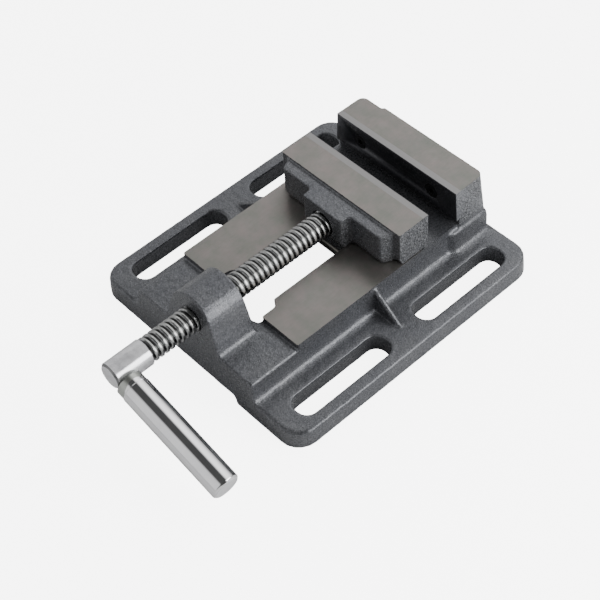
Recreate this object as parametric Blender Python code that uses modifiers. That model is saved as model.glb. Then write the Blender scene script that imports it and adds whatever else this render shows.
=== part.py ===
"""Drill press vise: cast base with fixed jaw, sliding jaw, lead screw and handle.

Metres, +Z up. X runs across the jaws and Y along the screw, with the handle at -Y.
The origin is on the underside, on the centre line, below the fixed jaw's gripping face.
"""
import math

import bmesh
import bpy
from mathutils import Matrix, Vector

MM = 0.001

# Clearances
SEAT_GAP = 0.3 * MM  # between faces that touch
KEEPER_GAP = 0.4 * MM  # between the keeper plate and the ways
OVERCUT = 3.0 * MM  # how far a cutter or a joined block runs past a face
WELD = 0.005 * MM  # points closer than this are one point

# Flange
BASE_WIDTH = 177.0 * MM
BASE_LENGTH = 195.2 * MM
BASE_BACK = 29.8 * MM  # back edge, behind the gripping face
BASE_CORNER_RADIUS = 14.0 * MM
FLANGE_THICKNESS = 12.4 * MM
FLANGE_EDGE_RADIUS = 1.8 * MM
CAST_DRAFT = 0.069  # sideways per unit of height
UNDERCUT_HEIGHT = 4.4 * MM  # front edge raised between the two feet
UNDERCUT_WIDTH = 68.0 * MM

# Clamping slots
SLOT_WIDTH = 16.2 * MM
SLOT_CORNER_RADIUS = 7.0 * MM
SLOT_RIM = 0.9 * MM
SLOT_SIDE_MARGIN = 17.2 * MM  # from the flange's side to the slot's middle
SLOT_FRONT_MARGIN = 15.6 * MM  # from the flange's front to the front slot's end
SLOT_REAR_MARGIN = 13.8 * MM  # from the flange's back to the rear slot's end
SLOT_LAND = 25.8 * MM  # between the two slots of one side

# Ways and the opening between them
WAY_TOP = 31.0 * MM
WAY_WIDTH = 100.0 * MM
WAY_THICKNESS = 11.0 * MM
WAY_SETBACK = 37.6 * MM  # from the flange's front to the ways' front
WAY_OPENING = 30.0 * MM
OPENING_REAR = -5.5 * MM
NOTCH_WIDTH = 39.6 * MM
NOTCH_LENGTH = 16.4 * MM
NOTCH_RADIUS = 5.5 * MM
WALL_THICKNESS = 9.0 * MM
COVE_RADIUS = 4.0 * MM

# Cross-piece at the front
CROSS_TOP = 27.3 * MM
CROSS_EDGE_RADIUS = 2.2 * MM
CROSS_LENGTH = 34.0 * MM
CROSS_SKIN = 10.3 * MM

# Threaded boss
SCREW_HEIGHT = 42.5 * MM
BOSS_RADIUS = 17.6 * MM
BOSS_FOOT_WIDTH = 47.0 * MM
BOSS_FOOT_FILLET = 2.4 * MM
BOSS_LENGTH = 27.0 * MM

# Side ribs
RIB_THICKNESS = 3.8 * MM
RIB_REACH = 22.0 * MM

# Fixed jaw
JAW_WIDTH = 99.5 * MM
JAW_TOP = 57.2 * MM
FIXED_JAW_DEPTH = 23.8 * MM
FIXED_BACK_DRAFT = 0.09
BACK_STEP = 1.7 * MM  # the back is set in by this much at the left end
BACK_STEP_X = -32.4 * MM
JAW_CORNER_RADIUS = 4.5 * MM
JAW_FOOT_WIDTH = 106.0 * MM
JAW_FOOT_TOP = 28.0 * MM
JAW_FOOT_FRONT = -7.0 * MM
JAW_FOOT_LEAD = 4.5 * MM  # over which it widens from the ways' walls
JAW_FOOT_BEVEL = 1.6 * MM

# Jaw plates and their screws
PLATE_THICKNESS = 4.0 * MM
PLATE_HEIGHT = 21.8 * MM
PLATE_LEDGE = 1.8 * MM  # the casting below a plate reaches this far under it
PLATE_SCREW_SPACING = 60.0 * MM
PLATE_SCREW_SHANK = 5.0 * MM
PLATE_SCREW_HEAD = 9.6 * MM
PLATE_SCREW_LENGTH = 14.0 * MM
PLATE_SCREW_LAND = 0.6 * MM
PLATE_SOCKET = 3.0 * MM
PLATE_SOCKET_DEPTH = 2.2 * MM

# Movable jaw
JAW_OPENING = 22.5 * MM  # between the gripping faces, as modelled
MOVING_JAW_DEPTH = 23.7 * MM
RELIEF_HEIGHT = 5.2 * MM  # the handle side is cut back along the ways
RELIEF_DEPTH = 2.1 * MM
LEDGE_DROP = 2.0 * MM
LEDGE_DEPTH = 7.6 * MM
LEDGE_WIDTH = 81.6 * MM
LEDGE_SPLAY = 3.5 * MM  # each end of the ledge is this much wider at its root
LEDGE_CORNER_RADIUS = 2.0 * MM
JAW_BOSS_WIDTH = 32.6 * MM
JAW_BOSS_DEPTH = 14.8 * MM
JAW_BOSS_RADIUS = 2.0 * MM
TONGUE_FRONT = 33.0 * MM  # from the gripping face to the tongue's handle side
TONGUE_REAR = 6.0 * MM
POCKET_FRONT = 23.0 * MM
POCKET_REAR = 16.0 * MM
POCKET_WIDTH = 20.0 * MM
POCKET_TOP = 52.2 * MM

# Lead screw
PITCH = 3.75 * MM
THREAD_DIAMETER = 16.0 * MM
THREAD_DEPTH = 1.6 * MM
THREAD_CREST = 1.75 * MM
THREAD_FLANK = 0.6 * MM
THREAD_STEPS = 18
HEAD_DIAMETER = 17.0 * MM
HEAD_LENGTH = 25.4 * MM
HEAD_CHAMFER = 0.8 * MM
HEAD_FRONT = -220.7 * MM
COUNTERBORE_DEPTH = 3.0 * MM
JOURNAL_DIAMETER = 11.0 * MM
JOURNAL_END_LAND = 2.0 * MM
GROOVE_DIAMETER = 8.6 * MM

# Retainer on the journal
THRUST_WASHER_THICKNESS = 1.4 * MM
THRUST_WASHER_DIAMETER = 18.0 * MM
RING_THICKNESS = 1.2 * MM
RING_DIAMETER = 16.0 * MM
RING_MOUTH = 5.0 * MM

# Handle
HANDLE_DIAMETER = 17.5 * MM
HANDLE_REACH = 90.0 * MM
HANDLE_CHAMFER = 1.3 * MM
HANDLE_TILT = math.radians(14.0)
HANDLE_SETBACK = 6.4 * MM  # from the head's end face to the handle's axis
SPIGOT_DIAMETER = 8.0 * MM

# Keeper plate and its bolts
KEEPER_WIDTH = 54.0 * MM
KEEPER_THICKNESS = 6.0 * MM
KEEPER_OVERHANG = 0.8 * MM  # past the tongue's handle side
KEEPER_CHAMFER = 0.8 * MM
BOLT_DIAMETER = 6.0 * MM
BOLT_HEAD_FLATS = 10.0 * MM
BOLT_HEAD_HEIGHT = 4.0 * MM
BOLT_REACH = 12.0 * MM  # into the tongue
BOLT_SPACING = 17.0 * MM
SPRING_WASHER_DIAMETER = 11.0 * MM
SPRING_WASHER_THICKNESS = 1.6 * MM
SPRING_WASHER_SLIT = 1.2 * MM

# Facets
ROUND_STEPS = 24
SMALL_STEPS = 16
CORNER_STEPS = 5
SHARP_ANGLE = math.radians(35)

# Places that follow from the sizes above
BASE_FRONT = BASE_BACK - BASE_LENGTH
SLOT_X = BASE_WIDTH / 2 - SLOT_SIDE_MARGIN
SLOT_LENGTH = (BASE_LENGTH - SLOT_FRONT_MARGIN - SLOT_REAR_MARGIN - SLOT_LAND) / 2
FRONT_SLOT_Y = BASE_FRONT + SLOT_FRONT_MARGIN + SLOT_LENGTH / 2
REAR_SLOT_Y = BASE_BACK - SLOT_REAR_MARGIN - SLOT_LENGTH / 2
RIB_Y = (FRONT_SLOT_Y + REAR_SLOT_Y) / 2
WAY_FRONT = BASE_FRONT + WAY_SETBACK
BOSS_BACK = BASE_FRONT + CAST_DRAFT * SCREW_HEIGHT + BOSS_LENGTH
OPENING_FRONT = BASE_FRONT + CROSS_LENGTH + 0.4 * MM
WAY_UNDERSIDE = WAY_TOP - WAY_THICKNESS
PLATE_BOTTOM = JAW_TOP - PLATE_HEIGHT
PLATE_SCREW_HEIGHT = PLATE_BOTTOM + PLATE_HEIGHT / 2
PLATE_SEAT = PLATE_THICKNESS + SEAT_GAP
MOVING_FACE = -JAW_OPENING
MOVING_BACK = MOVING_FACE - MOVING_JAW_DEPTH
JAW_BOTTOM = WAY_TOP + SEAT_GAP
JAW_BOSS_FRONT = MOVING_BACK - JAW_BOSS_DEPTH
KEEPER_TOP = WAY_UNDERSIDE - KEEPER_GAP
TONGUE_BOTTOM = KEEPER_TOP + SEAT_GAP
THREAD_START = HEAD_FRONT + HEAD_LENGTH
THREAD_END = JAW_BOSS_FRONT + COUNTERBORE_DEPTH - SEAT_GAP
POCKET_WALL = MOVING_FACE - POCKET_FRONT
RING_FRONT = POCKET_WALL + SEAT_GAP + THRUST_WASHER_THICKNESS + SEAT_GAP
GROOVE_FRONT = RING_FRONT - SEAT_GAP
GROOVE_REAR = RING_FRONT + RING_THICKNESS + SEAT_GAP
JOURNAL_END = GROOVE_REAR + JOURNAL_END_LAND
BOLT_Y = MOVING_FACE - (TONGUE_REAR + POCKET_REAR) / 2
BOLT_SPOTS = {"left": Vector((-BOLT_SPACING / 2, BOLT_Y, 0)),
              "right": Vector((BOLT_SPACING / 2, BOLT_Y, 0))}

# Colours
CAST_GREY = (0.10, 0.105, 0.11)
GROUND_STEEL = (0.50, 0.48, 0.45)
BRIGHT_ZINC = (0.72, 0.73, 0.74)
CHROME = (0.80, 0.80, 0.82)
BLACK_STEEL = (0.05, 0.05, 0.055)


def clear_scene():
    for old in list(bpy.data.objects):
        bpy.data.objects.remove(old, do_unlink=True)


def make_collection(name):
    collection = bpy.data.collections.new(name)
    bpy.context.scene.collection.children.link(collection)
    return collection


def make_material(name, color, roughness, metallic):
    material = bpy.data.materials.new(name)
    material.use_nodes = True
    shader = material.node_tree.nodes["Principled BSDF"]
    shader.inputs["Base Color"].default_value = (*color, 1.0)
    shader.inputs["Roughness"].default_value = roughness
    shader.inputs["Metallic"].default_value = metallic
    return material


clear_scene()
VISE = make_collection("drill_press_vise")
CUTTERS = make_collection("cutters")
MATERIALS = {
    "cast": make_material("cast grey", CAST_GREY, 0.55, 0.4),
    "plate": make_material("ground steel", GROUND_STEEL, 0.35, 1.0),
    "zinc": make_material("bright zinc", BRIGHT_ZINC, 0.25, 1.0),
    "chrome": make_material("chrome", CHROME, 0.1, 1.0),
    "black": make_material("black steel", BLACK_STEEL, 0.45, 0.8),
}


def new_object(name, mesh, finish=None, parent=None):
    """Link a mesh as a piece of the vise, or as a hidden cutter when it has no finish."""
    piece = bpy.data.objects.new(name, mesh)
    if finish:
        mesh.materials.append(MATERIALS[finish])
        VISE.objects.link(piece)
    else:
        piece.hide_render = True
        piece.display_type = "WIRE"
        CUTTERS.objects.link(piece)
    if parent:
        piece.parent = parent
    return piece


def new_empty(name, location, parent=None):
    empty = bpy.data.objects.new(name, None)
    empty.location = location
    VISE.objects.link(empty)
    if parent:
        empty.parent = parent
    return empty


def finish_mesh(shape, name):
    """Mesh with outward faces, smooth over shallow angles, from a bmesh that is then freed."""
    bmesh.ops.recalc_face_normals(shape, faces=shape.faces)
    mesh = bpy.data.meshes.new(name)
    shape.to_mesh(mesh)
    shape.free()
    mesh.shade_smooth()
    mesh.set_sharp_from_angle(angle=SHARP_ANGLE)
    return mesh


def loft(name, sections):
    """Closed mesh through sections with equal point counts."""
    shape = bmesh.new()
    rings = [[shape.verts.new(point) for point in section] for section in sections]
    for lower, upper in zip(rings, rings[1:]):
        for i in range(len(lower)):
            j = (i + 1) % len(lower)
            shape.faces.new((lower[i], lower[j], upper[j], upper[i]))
    shape.faces.new(rings[0])
    shape.faces.new(rings[-1])
    return finish_mesh(shape, name)


def rounded_outline(corners, z=None):
    """Flat outline through (x, y, radius) corners, with round corners; 3-D at z if given."""
    outline = []
    count = len(corners)
    for i, (x, y, radius) in enumerate(corners):
        here = Vector((x, y))
        before = Vector(corners[i - 1][:2]) - here
        after = Vector(corners[(i + 1) % count][:2]) - here
        if radius <= 0:
            outline.append((x, y))
            continue
        half_turn = before.angle(after) / 2
        centre = here + (before.normalized() + after.normalized()).normalized() * (
            radius / math.sin(half_turn))
        start = here + before.normalized() * radius / math.tan(half_turn) - centre
        end = here + after.normalized() * radius / math.tan(half_turn) - centre
        sweep = start.angle_signed(end)
        for step in range(CORNER_STEPS + 1):
            spoke = start.copy()
            spoke.rotate(Matrix.Rotation(-sweep * step / CORNER_STEPS, 2))
            outline.append(tuple(centre + spoke))
    if z is None:
        return outline
    return [(x, y, z) for x, y in outline]


def rectangle(half_width, front, back, front_radius, back_radius, z):
    corners = [(-half_width, front, front_radius), (half_width, front, front_radius),
               (half_width, back, back_radius), (-half_width, back, back_radius)]
    return rounded_outline(corners, z)


def box(name, low, high):
    shape = bmesh.new()
    size = Vector(high) - Vector(low)
    middle = (Vector(high) + Vector(low)) / 2
    matrix = Matrix.Translation(middle) @ Matrix.Diagonal((*size, 1.0))
    bmesh.ops.create_cube(shape, size=1.0, matrix=matrix)
    return finish_mesh(shape, name)


def prism(name, outline, low, high, axes):
    """Extrude a flat outline from low to high; axes places (outline u, v, depth) in space."""
    sections = []
    for depth in (low, high):
        sections.append([axes @ Vector((u, v, depth)) for u, v in outline])
    return loft(name, sections)


ALONG_Y = Matrix(((1, 0, 0), (0, 0, 1), (0, 1, 0)))  # outline in X and Z, depth in Y
ALONG_Z = Matrix.Identity(3)
TURN_TO_Y = Matrix.Rotation(math.radians(-90), 4, "X")  # local Z becomes world Y


def evaluated_shape(source):
    """Welded mesh of an object with its modifiers applied; the object is removed."""
    graph = bpy.context.evaluated_depsgraph_get()
    mesh = bpy.data.meshes.new_from_object(source.evaluated_get(graph))
    bpy.data.objects.remove(source)
    shape = bmesh.new()
    shape.from_mesh(mesh)
    bpy.data.meshes.remove(mesh)
    bmesh.ops.remove_doubles(shape, verts=shape.verts, dist=WELD)
    return shape


def turned(name, profile, steps=ROUND_STEPS):
    """Solid of revolution about Z; the profile runs down its outer side, top to bottom."""
    mesh = bpy.data.meshes.new(name)
    points = [(radius, 0.0, z) for radius, z in profile]
    mesh.from_pydata(points, [(i, i + 1) for i in range(len(points) - 1)], [])
    piece = new_object(name, mesh)
    screw = piece.modifiers.new("turn", "SCREW")
    screw.steps = steps
    screw.render_steps = steps
    screw.use_merge_vertices = True
    screw.merge_threshold = WELD
    return finish_mesh(evaluated_shape(piece), name)


def rod(name, radius, low, high, steps=ROUND_STEPS):
    return turned(name, [(0, high), (radius, high), (radius, low), (0, low)], steps)


def placed(mesh, matrix):
    mesh.transform(matrix)
    return mesh


def along_y(mesh, y=0.0):
    """Turn a mesh made about Z onto the Y direction, with its zero at y on the screw's axis."""
    return placed(mesh, Matrix.Translation((0, y, SCREW_HEIGHT)) @ TURN_TO_Y)


def combine(target, mesh, operation):
    cutter = new_object(mesh.name, mesh)
    step = target.modifiers.new(mesh.name, "BOOLEAN")
    step.operation = operation
    step.object = cutter
    step.solver = "EXACT"
    cutter.parent = target.parent
    return cutter


def join(target, mesh):
    combine(target, mesh, "UNION")


def cut(target, mesh):
    combine(target, mesh, "DIFFERENCE")


def threaded_rod(name, radius, depth, crest, low, high):
    """Closed right-hand threaded rod about Z, cut square at low and high.

    The thread's phase is fixed by Z, so a rod and the hole cut for it stay in mesh.
    """
    root = PITCH - crest - 2 * THREAD_FLANK
    turns = math.ceil((high - low) / PITCH) + 4
    start = (math.floor(low / PITCH) - 2) * PITCH
    profile = [(radius - depth, 0.0), (radius - depth, root / 2),
               (radius, root / 2 + THREAD_FLANK), (radius, root / 2 + THREAD_FLANK + crest),
               (radius - depth, PITCH - root / 2), (radius - depth, PITCH)]
    mesh = bpy.data.meshes.new(name)
    points = [(r, 0.0, start + z) for r, z in profile]
    mesh.from_pydata(points, [(i, i + 1) for i in range(len(points) - 1)], [])
    blank = new_object(name, mesh)
    screw = blank.modifiers.new("thread", "SCREW")
    screw.screw_offset = PITCH
    screw.iterations = turns
    screw.steps = THREAD_STEPS
    screw.render_steps = THREAD_STEPS
    screw.use_merge_vertices = True
    screw.merge_threshold = WELD
    shape = evaluated_shape(blank)
    for height, side in ((low, -1), (high, 1)):
        geometry = shape.verts[:] + shape.edges[:] + shape.faces[:]
        bmesh.ops.bisect_plane(shape, geom=geometry, plane_co=(0, 0, height),
                               plane_no=(0, 0, side), clear_outer=True)
        rim = [edge for edge in shape.edges if edge.is_boundary
               and all(abs(vert.co.z - height) < MM / 100 for vert in edge.verts)]
        bmesh.ops.holes_fill(shape, edges=rim, sides=0)
    return finish_mesh(shape, name)


def drafted(half_width, top):
    """Half width of a drafted side at any height, from its half width at its top."""
    return lambda z: half_width + CAST_DRAFT * (top - z)


def front_plane(z):
    return BASE_FRONT + CAST_DRAFT * z


def cove_heights():
    """Heights and outward reach of the round fillet between a wall and the flange."""
    rows = []
    for step in range(CORNER_STEPS):
        turn = math.radians(90) * step / (CORNER_STEPS - 1)
        rows.append((FLANGE_THICKNESS + COVE_RADIUS * (1 - math.cos(turn)),
                     COVE_RADIUS * (1 - math.sin(turn))))
    return rows


def flange():
    """Drafted slab with round corners and a rounded top edge."""
    proud = 0.06 * MM  # the front is trimmed to one plane with the cross-piece
    half = BASE_WIDTH / 2
    levels = [(0.0, 0.0), (FLANGE_THICKNESS - FLANGE_EDGE_RADIUS, 0.0)]
    for step in range(1, 4):
        turn = math.radians(30) * step
        levels.append((FLANGE_THICKNESS - FLANGE_EDGE_RADIUS * (1 - math.sin(turn)),
                       FLANGE_EDGE_RADIUS * (1 - math.cos(turn))))
    sections = []
    for z, inset in levels:
        inset += CAST_DRAFT * z
        radius = BASE_CORNER_RADIUS - inset
        sections.append(rectangle(half - inset, BASE_FRONT - proud + inset, BASE_BACK - inset,
                                  radius, radius, z))
    return loft("flange", sections)


def wall_rows(top, edge_radius):
    """Heights of a wall on the flange and how far it stands out at each.

    It has a round fillet at its foot and a rounded top edge.
    """
    rows = [(FLANGE_THICKNESS / 2, COVE_RADIUS)] + cove_heights()
    rows.append((top - edge_radius, 0.0))
    if edge_radius > 0:
        for step in range(1, 4):
            turn = math.radians(30) * step
            rows.append((top - edge_radius * (1 - math.sin(turn)),
                         -edge_radius * (1 - math.cos(turn))))
    return rows


def raised_block(name, front_at, back, top, edge_radius=0.0):
    """Block between the ways' outer walls, with fillets along its sides."""
    half_at = drafted(WAY_WIDTH / 2, WAY_TOP)
    sections = []
    for z, flare in wall_rows(top, edge_radius):
        sections.append(rectangle(half_at(z) + flare, front_at(z), back, 0, 0, z))
    return loft(name, sections)


def way_block():
    return raised_block("way block", lambda z: WAY_FRONT, PLATE_SEAT + OVERCUT, WAY_TOP)


def cross_block():
    return raised_block("cross block", lambda z: front_plane(z) - OVERCUT / 30,
                        WAY_FRONT + OVERCUT, CROSS_TOP, CROSS_EDGE_RADIUS)


def jaw_back(z):
    return FIXED_JAW_DEPTH + FIXED_BACK_DRAFT * (JAW_TOP - z)


def jaw_foot():
    """Wider block under the fixed jaw, which widens from the ways' walls."""
    way_half = drafted(WAY_WIDTH / 2 - OVERCUT / 30, WAY_TOP)
    foot_half = drafted(JAW_FOOT_WIDTH / 2, JAW_FOOT_TOP)
    back = jaw_back(JAW_FOOT_TOP) - MM
    sections = []
    for z, flare in wall_rows(JAW_FOOT_TOP, JAW_FOOT_BEVEL):
        narrow = way_half(z) + flare
        wide = foot_half(z) + flare
        full = JAW_FOOT_FRONT + JAW_FOOT_LEAD
        corners = [(-narrow, JAW_FOOT_FRONT, 0), (narrow, JAW_FOOT_FRONT, 0),
                   (wide, full, JAW_FOOT_LEAD), (wide, back, 0), (-wide, back, 0),
                   (-wide, full, JAW_FOOT_LEAD)]
        sections.append(rounded_outline(corners, z))
    return loft("jaw foot", sections)


def fixed_jaw_block():
    """Block behind the jaw plate, with a ledge under the plate and a shallow step behind."""
    half_at = drafted(JAW_WIDTH / 2, JAW_TOP)
    front = PLATE_SEAT - PLATE_LEDGE
    sections = []
    for z in (FLANGE_THICKNESS / 2, JAW_TOP + OVERCUT):
        half = half_at(z)
        back = jaw_back(z)
        corners = [(-half, front, 0), (half, front, 0), (half, back, JAW_CORNER_RADIUS),
                   (BACK_STEP_X, back, BACK_STEP / 2),
                   (BACK_STEP_X - BACK_STEP / 2, back - BACK_STEP, 0),
                   (-half, back - BACK_STEP, JAW_CORNER_RADIUS)]
        sections.append(rounded_outline(corners, z))
    return loft("fixed jaw", sections)


def boss_outline():
    """Arch round the screw's axis, on flanks that run down tangent to it into a fillet."""
    foot = Vector((BOSS_FOOT_WIDTH / 2, CROSS_TOP))
    centre = Vector((0.0, SCREW_HEIGHT))
    away = foot - centre
    turn = math.atan2(away.y, away.x) + math.acos(BOSS_RADIUS / away.length)
    tangent = centre + BOSS_RADIUS * Vector((math.cos(turn), math.sin(turn)))
    flank = (foot - tangent).normalized()
    low = foot + flank * (OVERCUT / flank.y * -1)
    side = [tuple(low)]
    side.append((foot.x + BOSS_FOOT_FILLET, foot.y - OVERCUT / 3))
    side.append((foot.x + BOSS_FOOT_FILLET, foot.y + 0.02 * MM))
    side.append(tuple(foot - flank * BOSS_FOOT_FILLET * 0.4 +
                      Vector((BOSS_FOOT_FILLET * 0.28, 0))))
    side.append(tuple(foot - flank * BOSS_FOOT_FILLET))
    arch = []
    arch_steps = ROUND_STEPS // 2
    for step in range(arch_steps + 1):
        angle = turn + (math.pi - 2 * turn) * step / arch_steps
        arch.append((BOSS_RADIUS * math.cos(angle),
                     SCREW_HEIGHT + BOSS_RADIUS * math.sin(angle)))
    mirrored = [(-x, z) for x, z in reversed(side)]
    return side + arch + mirrored


def side_rib(side):
    """Gusset from the top of a way's outer wall down to the flange, with a rounded back."""
    root = WAY_WIDTH / 2 - OVERCUT
    tip = WAY_WIDTH / 2 + RIB_REACH
    low = FLANGE_THICKNESS - OVERCUT
    slope = (WAY_TOP - FLANGE_THICKNESS) / RIB_REACH
    crest = WAY_TOP - MM
    outline = [(root, low), (tip + OVERCUT / slope, low),
               (WAY_WIDTH / 2, crest), (root, crest)]
    shape = bmesh.new()
    faces = []
    for y in (RIB_Y - RIB_THICKNESS / 2, RIB_Y + RIB_THICKNESS / 2):
        faces.append([shape.verts.new((side * x, y, z)) for x, z in outline])
    for i in range(len(outline)):
        j = (i + 1) % len(outline)
        shape.faces.new((faces[0][i], faces[0][j], faces[1][j], faces[1][i]))
    shape.faces.new(faces[0])
    shape.faces.new(faces[1])
    shape.edges.ensure_lookup_table()
    sloping = [edge for edge in shape.edges
               if abs(edge.verts[0].co.z - edge.verts[1].co.z) > MM
               and abs(edge.verts[0].co.x - edge.verts[1].co.x) > MM]
    bmesh.ops.bevel(shape, geom=sloping, offset=RIB_THICKNESS * 0.4, segments=3,
                    profile=0.5, affect="EDGES")
    return finish_mesh(shape, "rib")


def slot(side, middle):
    """Through slot with round ends and a rounded top rim."""
    levels = [(-OVERCUT, 0.0), (FLANGE_THICKNESS - SLOT_RIM, 0.0),
              (FLANGE_THICKNESS - SLOT_RIM * 0.3, SLOT_RIM * 0.3),
              (FLANGE_THICKNESS, SLOT_RIM), (FLANGE_THICKNESS + OVERCUT, SLOT_RIM + OVERCUT)]
    sections = []
    for z, grow in levels:
        half_length = SLOT_LENGTH / 2 + grow
        radius = SLOT_CORNER_RADIUS + grow
        outline = rectangle(SLOT_WIDTH / 2 + grow, middle - half_length, middle + half_length,
                            radius, radius, z)
        sections.append([(x + side * SLOT_X, y, z) for x, y, z in outline])
    return loft("slot", sections)


def way_opening():
    """Opening between the ways, widened at its front end."""
    half = WAY_OPENING / 2
    notch = NOTCH_WIDTH / 2
    notch_rear = OPENING_FRONT + NOTCH_LENGTH
    corner = NOTCH_RADIUS
    right = [(notch, OPENING_FRONT, corner * 0.7), (notch, notch_rear, corner * 0.85),
             (half, notch_rear, 0), (half, OPENING_REAR, corner)]
    left = [(-x, y, radius) for x, y, radius in reversed(right)]
    return prism("way opening", rounded_outline(right + left), -OVERCUT,
                 WAY_TOP + OVERCUT, ALONG_Z)


def underside_hollows():
    """Cored-out underside: one hollow below the ways, a lower one below the cross-piece."""
    half = WAY_WIDTH / 2 - WALL_THICKNESS
    corner = NOTCH_RADIUS
    rear = OPENING_REAR + MM
    below_ways = [rectangle(half, OPENING_FRONT, rear, 0, corner, z)
                  for z in (-OVERCUT, WAY_UNDERSIDE)]
    front = BASE_FRONT + WALL_THICKNESS + MM
    below_cross = [rectangle(half - MM, front, OPENING_FRONT + OVERCUT, corner, 0, z)
                   for z in (-OVERCUT, CROSS_TOP - CROSS_SKIN)]
    return [loft("hollow below ways", below_ways), loft("hollow below cross", below_cross)]


def front_undercut():
    half = UNDERCUT_WIDTH / 2
    outline = [(-half - UNDERCUT_HEIGHT - OVERCUT, -OVERCUT),
               (half + UNDERCUT_HEIGHT + OVERCUT, -OVERCUT),
               (half, UNDERCUT_HEIGHT), (-half, UNDERCUT_HEIGHT)]
    return prism("front undercut", outline, BASE_FRONT - OVERCUT,
                 BASE_FRONT + WALL_THICKNESS + OVERCUT, ALONG_Y)


def front_trim():
    """Wedge that cuts flange, cross-piece and boss back to one drafted front plane."""
    low = -OVERCUT
    high = JAW_TOP + OVERCUT
    outline = [(front_plane(low), low), (front_plane(high), high),
               (BASE_FRONT - 10 * OVERCUT, high), (BASE_FRONT - 10 * OVERCUT, low)]
    reach = BASE_WIDTH / 2 + OVERCUT
    sections = [[(x, y, z) for y, z in outline] for x in (-reach, reach)]
    return loft("front trim", sections)


def screw_hole_places(gripping_face, into_casting):
    """Centres of a plate's two screws, and the direction in which they point."""
    return [(side * PLATE_SCREW_SPACING / 2, gripping_face, into_casting) for side in (-1, 1)]


def point_along(mesh, x, y, z, direction):
    """Turn a mesh made about Z so that its Z points along +Y or -Y, and put it at x, y, z."""
    turn = Matrix.Rotation(math.radians(-90) * direction, 4, "X")
    return placed(mesh, Matrix.Translation((x, y, z)) @ turn)


def plate_tapped_hole(x, face, direction):
    hole = rod("tapped hole", PLATE_SCREW_SHANK / 2 + SEAT_GAP, PLATE_THICKNESS - MM,
               PLATE_SCREW_LENGTH + MM, SMALL_STEPS)
    return point_along(hole, x, face, PLATE_SCREW_HEIGHT, direction)


def base_casting():
    casting = new_object("base_casting", flange(), "cast")
    for block in (way_block(), cross_block(), jaw_foot(), fixed_jaw_block()):
        join(casting, block)
    join(casting, prism("boss", boss_outline(), BASE_FRONT - MM, BOSS_BACK, ALONG_Y))
    for side in (-1, 1):
        join(casting, side_rib(side))
    cut(casting, front_trim())
    for hollow in underside_hollows():
        cut(casting, hollow)
    cut(casting, way_opening())
    cut(casting, front_undercut())
    for side in (-1, 1):
        for middle in (FRONT_SLOT_Y, REAR_SLOT_Y):
            cut(casting, slot(side, middle))
    reach = JAW_WIDTH / 2 + 10 * MM
    cut(casting, box("top facing", (-reach, -OVERCUT, JAW_TOP),
                     (reach, FIXED_JAW_DEPTH + 10 * MM, JAW_TOP + 3 * OVERCUT)))
    cut(casting, box("plate seat", (-reach, -OVERCUT, PLATE_BOTTOM - SEAT_GAP),
                     (reach, PLATE_SEAT, JAW_TOP + OVERCUT)))
    for x, face, direction in screw_hole_places(0.0, 1):
        cut(casting, plate_tapped_hole(x, face, direction))
    nut = threaded_rod("nut thread", THREAD_DIAMETER / 2 + SEAT_GAP, THREAD_DEPTH,
                       THREAD_CREST + 2 * SEAT_GAP,
                       BASE_FRONT - OVERCUT - HEAD_FRONT, BOSS_BACK + OVERCUT - HEAD_FRONT)
    cut(casting, along_y(nut, HEAD_FRONT))
    return casting


def moving_back(z):
    """Handle side of the movable jaw's block, which is cut back near the ways."""
    return MOVING_BACK + RELIEF_DEPTH * max(0.0, JAW_BOTTOM + RELIEF_HEIGHT - z) / RELIEF_HEIGHT


def moving_block():
    half = JAW_WIDTH / 2
    sections = []
    for z in (JAW_BOTTOM, JAW_BOTTOM + RELIEF_HEIGHT, JAW_TOP):
        sections.append(rectangle(half, moving_back(z), MOVING_FACE - PLATE_SEAT + PLATE_LEDGE,
                                  0, 0, z))
    return loft("movable_jaw", sections)


def moving_ledge():
    """Cast ledge on the handle side, with splayed and rounded ends."""
    half = LEDGE_WIDTH / 2
    root = half + LEDGE_SPLAY
    sections = []
    for z in (JAW_BOTTOM, JAW_BOTTOM + RELIEF_HEIGHT, JAW_TOP - LEDGE_DROP):
        front = moving_back(z) - LEDGE_DEPTH
        back = moving_back(z)
        inside = back + RELIEF_DEPTH + OVERCUT
        corners = [(-half, front, LEDGE_CORNER_RADIUS), (half, front, LEDGE_CORNER_RADIUS),
                   (root, back, 0), (root, inside, 0), (-root, inside, 0), (-root, back, 0)]
        sections.append(rounded_outline(corners, z))
    return loft("ledge", sections)


def moving_boss():
    """Boss that the screw's journal runs through, with small fillets beside the ledge."""
    half = JAW_BOSS_WIDTH / 2
    round_off = JAW_BOSS_RADIUS
    foot = half + round_off
    sections = []
    for z in (JAW_BOTTOM, JAW_BOTTOM + RELIEF_HEIGHT, JAW_TOP - LEDGE_DROP):
        front = moving_back(z) - JAW_BOSS_DEPTH
        ledge = moving_back(z) - LEDGE_DEPTH
        inside = ledge + LEDGE_DEPTH / 2
        corners = [(-half, front, round_off), (half, front, round_off),
                   (half, ledge - round_off, 0), (foot, ledge + MM / 5, 0),
                   (foot, inside, 0), (-foot, inside, 0),
                   (-foot, ledge + MM / 5, 0), (-half, ledge - round_off, 0)]
        sections.append(rounded_outline(corners, z))
    return loft("jaw boss", sections)


def tongue():
    """Guide between the ways, with the same round corners as the opening's end."""
    half = WAY_OPENING / 2 - SEAT_GAP
    sections = []
    for z in (TONGUE_BOTTOM, JAW_BOTTOM + OVERCUT):
        sections.append(rectangle(half, MOVING_FACE - TONGUE_FRONT, MOVING_FACE - TONGUE_REAR,
                                  MM, NOTCH_RADIUS, z))
    return loft("tongue", sections)


def retainer_pocket():
    half = POCKET_WIDTH / 2
    return box("retainer pocket", (-half, POCKET_WALL, TONGUE_BOTTOM - OVERCUT),
               (half, MOVING_FACE - POCKET_REAR, POCKET_TOP))


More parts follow.
